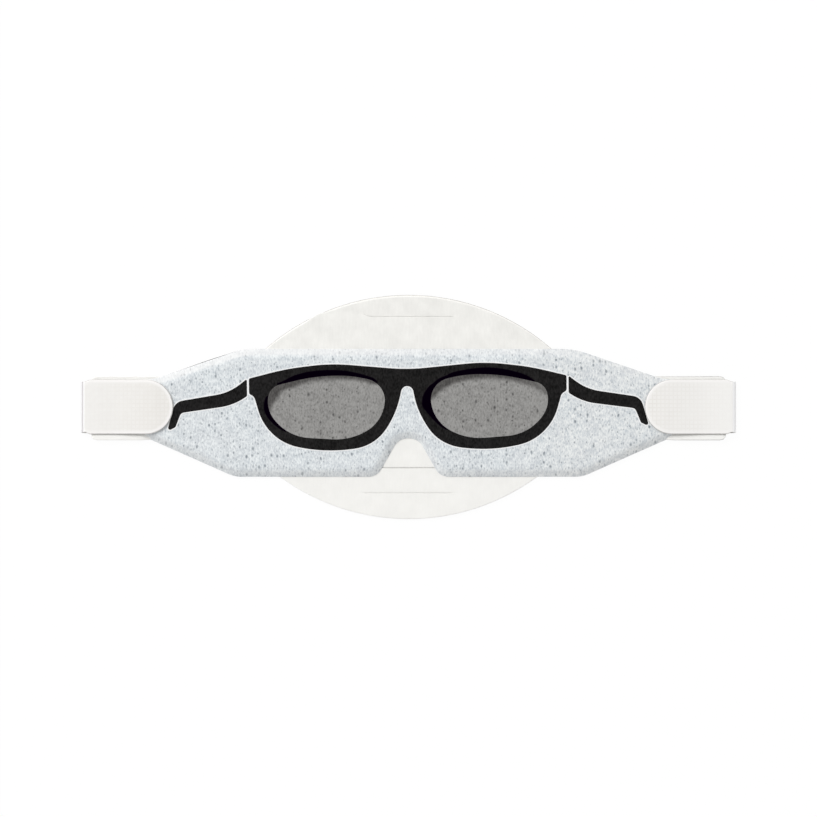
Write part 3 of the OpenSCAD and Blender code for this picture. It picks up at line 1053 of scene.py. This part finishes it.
# Black screen ink: a dull charcoal, printed blacker and quite without shine where it is shaded
black_ink, tree, output = blank_material("vinyl_ink_black")
place = add(tree, "ShaderNodeTexCoord").outputs["Object"]
ground, _, relief = foam_pattern(tree, place)
shaded = None
for side in (-1, 1):
    depth, turn = lens_place(tree, place, side)
    width = dial(tree, turn, frame_shade[side])
    within = add(tree, "ShaderNodeMath", [(0, width), (1, depth)], operation="ADD")
    dark = add(
        tree,
        "ShaderNodeMapRange",
        [("Value", within.outputs[0]), ("From Min", -0.15), ("From Max", 0.15)],
    ).outputs[0]
    if shaded is not None:
        dark = add(tree, "ShaderNodeMath", [(0, shaded), (1, dark)], operation="MAXIMUM").outputs[0]
    shaded = dark
plain = add(
    tree,
    "ShaderNodeMix",
    [("Factor", ground), (6, tone("#040303")), (7, tone("#222121"))],
    data_type="RGBA",
)
colour = add(
    tree,
    "ShaderNodeMix",
    [("Factor", shaded), (6, plain.outputs[2]), (7, tone("#05000A"))],
    data_type="RGBA",
)
shine = add(tree, "ShaderNodeMapRange", [("Value", shaded), ("To Min", 0.12), ("To Max", 0.0)])
ink_shader(tree, output, colour.outputs[2], relief, 0.62, shine.outputs[0])
coat(black_ink, "frame_print", "left_temple_print", "right_temple_print")

# Grey screen ink: thin enough for the foam's flecks to show, with a printed shadow under the frame,
# which is fainter at the outer end of the right lens
shade_strength = {
    -1: [(-180, 1), (0, 1), (180, 1)],
    1: [(-180, 1), (5, 1), (12, 0.68), (22, 0.72), (32, 0.82), (42, 1), (180, 1)],
}
for side, name in ((-1, "left_lens_print"), (1, "right_lens_print")):
    grey_ink, tree, output = blank_material("vinyl_ink_grey_" + name.split("_")[0])
    place = add(tree, "ShaderNodeTexCoord").outputs["Object"]
    ground, flecks, relief = foam_pattern(tree, place)
    depth, turn = lens_place(tree, place, side)
    reach = dial(tree, turn, lens_shade[side])
    beyond = add(tree, "ShaderNodeMath", [(0, depth), (1, reach)], operation="SUBTRACT")
    shadow = add(
        tree,
        "ShaderNodeMapRange",
        [
            ("Value", beyond.outputs[0]),
            ("From Min", -1.05),
            ("From Max", 1.05),
            ("To Min", 1),
            ("To Max", 0),
        ],
        interpolation_type="SMOOTHSTEP",
    )
    plain = add(
        tree,
        "ShaderNodeMix",
        [("Factor", ground), (6, tone("#848381")), (7, tone("#A09F9D"))],
        data_type="RGBA",
    )
    spotted = add(
        tree,
        "ShaderNodeMix",
        [("Factor", flecks), (6, plain.outputs[2]), (7, tone("#525150"))],
        data_type="RGBA",
    )
    dim = add(
        tree,
        "ShaderNodeMix",
        [("Factor", ground), (6, tone("#3F3D3C")), (7, tone("#5A5856"))],
        data_type="RGBA",
    )
    strength = dial(tree, turn, shade_strength[side])
    shade = add(
        tree, "ShaderNodeMath", [(0, shadow.outputs[0]), (1, strength)], operation="MULTIPLY"
    )
    colour = add(
        tree,
        "ShaderNodeMix",
        [("Factor", shade.outputs[0]), (6, spotted.outputs[2]), (7, dim.outputs[2])],
        data_type="RGBA",
    )
    ink_shader(tree, output, colour.outputs[2], relief, 0.7, 0.3)
    coat(grey_ink, name)


def step_up(value, start, end):
    """0 below start, 1 above end and smooth between them."""
    t = np.clip((value - start) / (end - start), 0, 1)
    return t * t * (3 - 2 * t)


# The right side of the print's nose gap stands up to half a millimetre further left on the real
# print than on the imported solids. Copies of the black and the white have that edge moved, while the
# rim of the lens opening and all that lies further out keep their places.
gap_shift, upper_share, still_rim_w, still_x = 0.45, 0.35, 0.6, 18
for node_name, name, ink, ink_slot in (
    ("print_backing", "white_print", white_ink, "white_ink"),
    ("frame_print", "black_print", black_ink, "black_ink"),
):
    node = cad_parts[node_name]
    printed = bpy.data.objects.new(name, node.data.copy())
    scene.collection.objects.link(printed)
    printed.matrix_world = node.matrix_world
    for vertex in printed.data.vertices:
        x, y = vertex.co.x * 1000, vertex.co.y * 1000
        off_x, off_y = x - print_shift - lens_middle[0], y - lens_middle[1]
        lens_rim = outline_radius(math.atan2(off_y, off_x)) + still_rim_w
        if abs(x) > still_x or math.hypot(off_x, off_y) < lens_rim:
            continue
        # Whole between 2 and 7.5 mm right of the middle, and gone at the top of the bridge
        nearness = step_up(x, -4, 2) * (1 - step_up(x, 7.5, still_x)) * (1 - step_up(y, 7, 9))
        vertex.co.x -= gap_shift / 1000 * nearness * (1 - upper_share * step_up(y, 0, 5))
    printed.data.materials.clear()
    printed.data.materials.append(ink)
    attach(printed, "headband")
    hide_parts(node_name)


# Each tab is one strip of white bonded fabric. Its rear leg is stuck to the outside of the
# headband. It folds round the end, and its round-nosed front leg closes on the shade.
bend_x, bend_r, strip_t = 93.8, 1.425, 0.25
rear_leg = 23.8
rear_half_w, front_half_w = 7.4, 7.92
neck_l, neck_end_x = 1.2, 91.8
hook_rise = 0.65
# The hot cut thins the strip towards its edge, and the edge of the front leg turns down
cut_w, cut_share = 0.12, 0.45
turn_w, turn_down = 0.3, 0.42
# How far the front leg is folded off the centre line
askew = 0.24


def strip_stations(nose_x):
    """Along the strip: x, z, the way its outer side faces, half its width, distance to its end."""
    middle_r = bend_r - strip_t / 2
    far = 9
    side_turn, tip_turn = 86, 2.2
    rows = []
    for d in [0, 0.05, 0.15, 0.35, 0.8] + list(np.linspace(1.6, rear_leg, 20)):
        rows.append((bend_x - rear_leg + d, strip_t / 2, (0, -1), rear_half_w, d))
    for degrees in np.linspace(-90, 90, 25)[1:-1]:
        t = math.radians(degrees)
        out = (math.cos(t), math.sin(t))
        x, z = bend_x + middle_r * out[0], bend_r + middle_r * out[1]
        rows.append((x, z, out, rear_half_w, far))
    centre_x = nose_x + front_half_w
    neck = list(np.linspace(bend_x, bend_x - neck_l, 4))
    for x in neck + list(np.linspace(neck_end_x, centre_x, 20)):
        w = min(front_half_w, rear_half_w + (front_half_w - rear_half_w) * (bend_x - x) / neck_l)
        rows.append((x, face_top(x) + hook_rise + strip_t / 2, (0, 1), w, far))
    for degrees in np.linspace(side_turn, tip_turn, 26):
        t = math.radians(degrees)
        x, w = centre_x - front_half_w * math.cos(t), front_half_w * math.sin(t)
        rows.append((x, face_top(x) + hook_rise + strip_t / 2, (0, 1), w, far))
    return rows


def tab_strip(name, side, nose_x):
    """The whole folded strip of one tab, with its edges hot-cut and turned down round its hooks."""
    centre_x = nose_x + front_half_w
    near = np.array([0, 0.06, 0.14, 0.22, 0.34, 0.5, 0.75])
    unfolded = 5
    outer, inner, rims, folds = [], [], [], []
    for x, z, out, half_w, from_end in strip_stations(nose_x):
        squeeze = min(1, half_w / 2)
        right = half_w - near * squeeze
        ys = np.concatenate([-right, np.linspace(-right[-1], right[-1], 17)[1:-1], right[::-1]])
        over, under = [], []
        for y in ys:
            inset = min(half_w - abs(y), from_end)
            if out == (0, 1) and x < centre_x:
                inset = front_half_w - math.hypot(x - centre_x, y)
            edge = 1 - min(1, max(0, inset) / cut_w)
            thick = strip_t / 2 * (cut_share + (1 - cut_share) * math.sqrt(1 - edge * edge))
            folds.append(bend_x + bend_r - x - out[0] * thick if out[1] > 0 else unfolded)
            press = 0.0
            if out == (0, 1):
                t = 1 - min(1, max(0, inset) / turn_w)
                press = 0.03 * noise.noise(Vector((x / 5, y / 4, side))) - turn_down * t * t
            y += askew * (out[1] + 1) / 2
            over.append((side * (x + out[0] * thick), y, z + out[1] * thick + press))
            under.append((side * (x - out[0] * thick), y, z - out[1] * thick + press))
            rims.append(inset)
        outer.append(over)
        inner.append(under)
    outer, inner = np.array(outer), np.array(inner)
    rims = np.reshape(rims, outer.shape[:2])
    # The right fold has no painted grey shade line, which lies less than 0.9 mm from the fold
    folds = np.maximum(np.reshape(folds, outer.shape[:2]), 0.9 if side > 0 else 0)
    if side > 0:
        outer, inner, rims, folds = (rows[:, ::-1] for rows in (outer, inner, rims, folds))
    strip = thin_body(name, outer, inner)
    mark(strip, inset=rims, from_fold=folds)
    return strip


# Thermally bonded polypropylene: smooth and white, with a faint pressed grid that shows where the
# hooks behind hold the fabric taut. Along the hot-cut edge a grey line is painted shade, and a pale
# band inside it is a painted highlight. The fold carries painted highlights, with a grey line of
# painted shade in the left one, and the right tab is painted a little lighter, where less light
# falls on it.
grid_pitch = 1.2
bonded, tree, output = blank_material("polypropylene_fabric_bonded")
place = add(tree, "ShaderNodeTexCoord").outputs["Object"]
parts = add(tree, "ShaderNodeSeparateXYZ", [("Vector", place)])
lines = []
for k in (0, 1):
    angle = add(
        tree,
        "ShaderNodeMath",
        [(0, parts.outputs[k]), (1, 2 * math.pi * 1000 / grid_pitch)],
        operation="MULTIPLY",
    )
    wave = add(tree, "ShaderNodeMath", [(0, angle.outputs[0])], operation="COSINE")
    line = add(
        tree,
        "ShaderNodeMapRange",
        [("Value", wave.outputs[0]), ("From Min", 0.3), ("From Max", 0.95)],
        interpolation_type="SMOOTHSTEP",
    )
    lines.append(line.outputs[0])
pressed = add(tree, "ShaderNodeMath", [(0, lines[0]), (1, lines[1])], operation="MAXIMUM")
web = add(tree, "ShaderNodeTexNoise", [("Vector", place), ("Scale", 700), ("Detail", 4)])
patch = add(tree, "ShaderNodeTexNoise", [("Vector", place), ("Scale", 130), ("Detail", 1)])
from_middle = add(tree, "ShaderNodeMath", [(0, parts.outputs[0])], operation="ABSOLUTE")
taut = add(
    tree,
    "ShaderNodeMapRange",
    [
        ("Value", from_middle.outputs[0]),
        ("From Min", 0.092),
        ("From Max", 0.072),
        ("To Min", 0.1),
        ("To Max", 1),
    ],
)
marked = add(
    tree,
    "ShaderNodeMath",
    [(0, pressed.outputs[0]), (1, patch.outputs["Fac"])],
    operation="MULTIPLY",
)
pattern = add(
    tree, "ShaderNodeMath", [(0, marked.outputs[0]), (1, taut.outputs[0])], operation="MULTIPLY"
)
height = add(
    tree,
    "ShaderNodeMath",
    [(0, pattern.outputs[0]), (1, -0.4), (2, web.outputs["Fac"])],
    operation="MULTIPLY_ADD",
)
slack = add(
    tree,
    "ShaderNodeMix",
    [("Factor", web.outputs["Fac"]), (6, tone("#F1EFEC")), (7, tone("#F8F7F4"))],
    data_type="RGBA",
)
# The fabric is a little darker towards the nose, where the grid is strongest
tight = add(
    tree,
    "ShaderNodeMix",
    [("Factor", web.outputs["Fac"]), (6, tone("#EBE8E4")), (7, tone("#F3F1ED"))],
    data_type="RGBA",
)
plain = add(
    tree,
    "ShaderNodeMix",
    [("Factor", taut.outputs[0]), (6, slack.outputs[2]), (7, tight.outputs[2])],
    data_type="RGBA",
)
# Painted light: the right tab is made a little lighter, as less light falls on it
right_side = add(
    tree,
    "ShaderNodeMapRange",
    [("Value", parts.outputs[0]), ("From Min", -0.06), ("From Max", 0.06), ("To Max", 0.35)],
)
right_painted_lighter = add(
    tree,
    "ShaderNodeMix",
    [("Factor", right_side.outputs[0]), (6, plain.outputs[2]), (7, tone("#FFFEFC"))],
    data_type="RGBA",
)
colour = add(
    tree,
    "ShaderNodeMix",
    [("Factor", pattern.outputs[0]), (6, right_painted_lighter.outputs[2]), (7, tone("#EAE7E2"))],
    data_type="RGBA",
)
edge_in = add(tree, "ShaderNodeAttribute", attribute_name="inset").outputs["Fac"]
fold_in = add(tree, "ShaderNodeAttribute", attribute_name="from_fold").outputs["Fac"]
# Each painted highlight or line of painted shade along an edge or fold: what it is measured from,
# where it starts to fade and where it is gone, in millimetres, and its tone
for measure, full, gone, shade in (
    (edge_in, 0.5, 1.3, "#FBF9F7"),
    (edge_in, 0.1, 0.22, "#D2CFCC"),
    (fold_in, 1.02, 1.16, "#FFFFFF"),
    (fold_in, 0.74, 0.83, "#C6C3C4"),
    (fold_in, 0.46, 0.54, "#E8E6E8"),
):
    near = add(
        tree,
        "ShaderNodeMapRange",
        [("Value", measure), ("From Min", full), ("From Max", gone), ("To Min", 1), ("To Max", 0)],
    )
    colour = add(
        tree,
        "ShaderNodeMix",
        [("Factor", near.outputs[0]), (6, colour.outputs[2]), (7, tone(shade))],
        data_type="RGBA",
    )
bump = add(
    tree,
    "ShaderNodeBump",
    [("Strength", 0.3), ("Distance", 0.00003), ("Height", height.outputs[0])],
)
shader = add(
    tree,
    "ShaderNodeBsdfPrincipled",
    [
        ("Base Color", colour.outputs[2]),
        ("Roughness", 0.6),
        ("IOR", 1.49),
        ("Normal", bump.outputs[0]),
    ],
)
tree.links.new(shader.outputs[0], output.inputs["Surface"])

# The left nose ends 0.3 mm short of the right one, as the photo shows
for side, end, nose_x in ((-1, "left", 68.3), (1, "right", 68.6)):
    strip = tab_strip(end + "_tab_strip", side, nose_x)
    strip.data.materials.append(bonded)
    x = side * bend_x / 1000
    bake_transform(strip)
    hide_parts(end + "_tab_anchor", end + "_tab_fold", end + "_tab_flap")


# A film of pressure-sensitive acrylic adhesive holds each rear leg to the foam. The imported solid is
# that film, and shows only in the gap at the edge of the leg.
acrylic, tree, output = blank_material("acrylic_adhesive_film")
place = add(tree, "ShaderNodeTexCoord").outputs["Object"]
streaks = add(tree, "ShaderNodeTexNoise", [("Vector", place), ("Scale", 420), ("Detail", 2)])
colour = add(
    tree,
    "ShaderNodeMix",
    [("Factor", streaks.outputs["Fac"]), (6, tone("#D2CFC2")), (7, tone("#E2E0D6"))],
    data_type="RGBA",
)
shader = add(
    tree,
    "ShaderNodeBsdfPrincipled",
    [("Base Color", colour.outputs[2]), ("Roughness", 0.3), ("IOR", 1.47)],
)
tree.links.new(shader.outputs[0], output.inputs["Surface"])
coat(acrylic, "left_tab_bond", "right_tab_bond")


# Inside each front leg is a strip of moulded nylon hooks that grips the foam's skin. The packed
# solid has every hook, in rows that point to the nose and to the bend by turns.
nylon, tree, output = blank_material("nylon_66_moulded")
place = add(tree, "ShaderNodeTexCoord").outputs["Object"]
cloud = add(tree, "ShaderNodeTexNoise", [("Vector", place), ("Scale", 900), ("Detail", 2)])
colour = add(
    tree,
    "ShaderNodeMix",
    [("Factor", cloud.outputs["Fac"]), (6, tone("#E6E4DC")), (7, tone("#F1F0EA"))],
    data_type="RGBA",
)
bump = add(
    tree,
    "ShaderNodeBump",
    [("Strength", 0.2), ("Distance", 0.00002), ("Height", cloud.outputs["Fac"])],
)
shader = add(
    tree,
    "ShaderNodeBsdfPrincipled",
    [
        ("Base Color", colour.outputs[2]),
        ("Roughness", 0.34),
        ("IOR", 1.53),
        ("Subsurface Weight", 0.25),
        ("Subsurface Radius", (0.0006, 0.0005, 0.0004)),
        ("Subsurface Scale", 1.0),
        ("Normal", bump.outputs[0]),
    ],
)
tree.links.new(shader.outputs[0], output.inputs["Surface"])
coat(nylon, "left_tab_hooks", "right_tab_hooks")
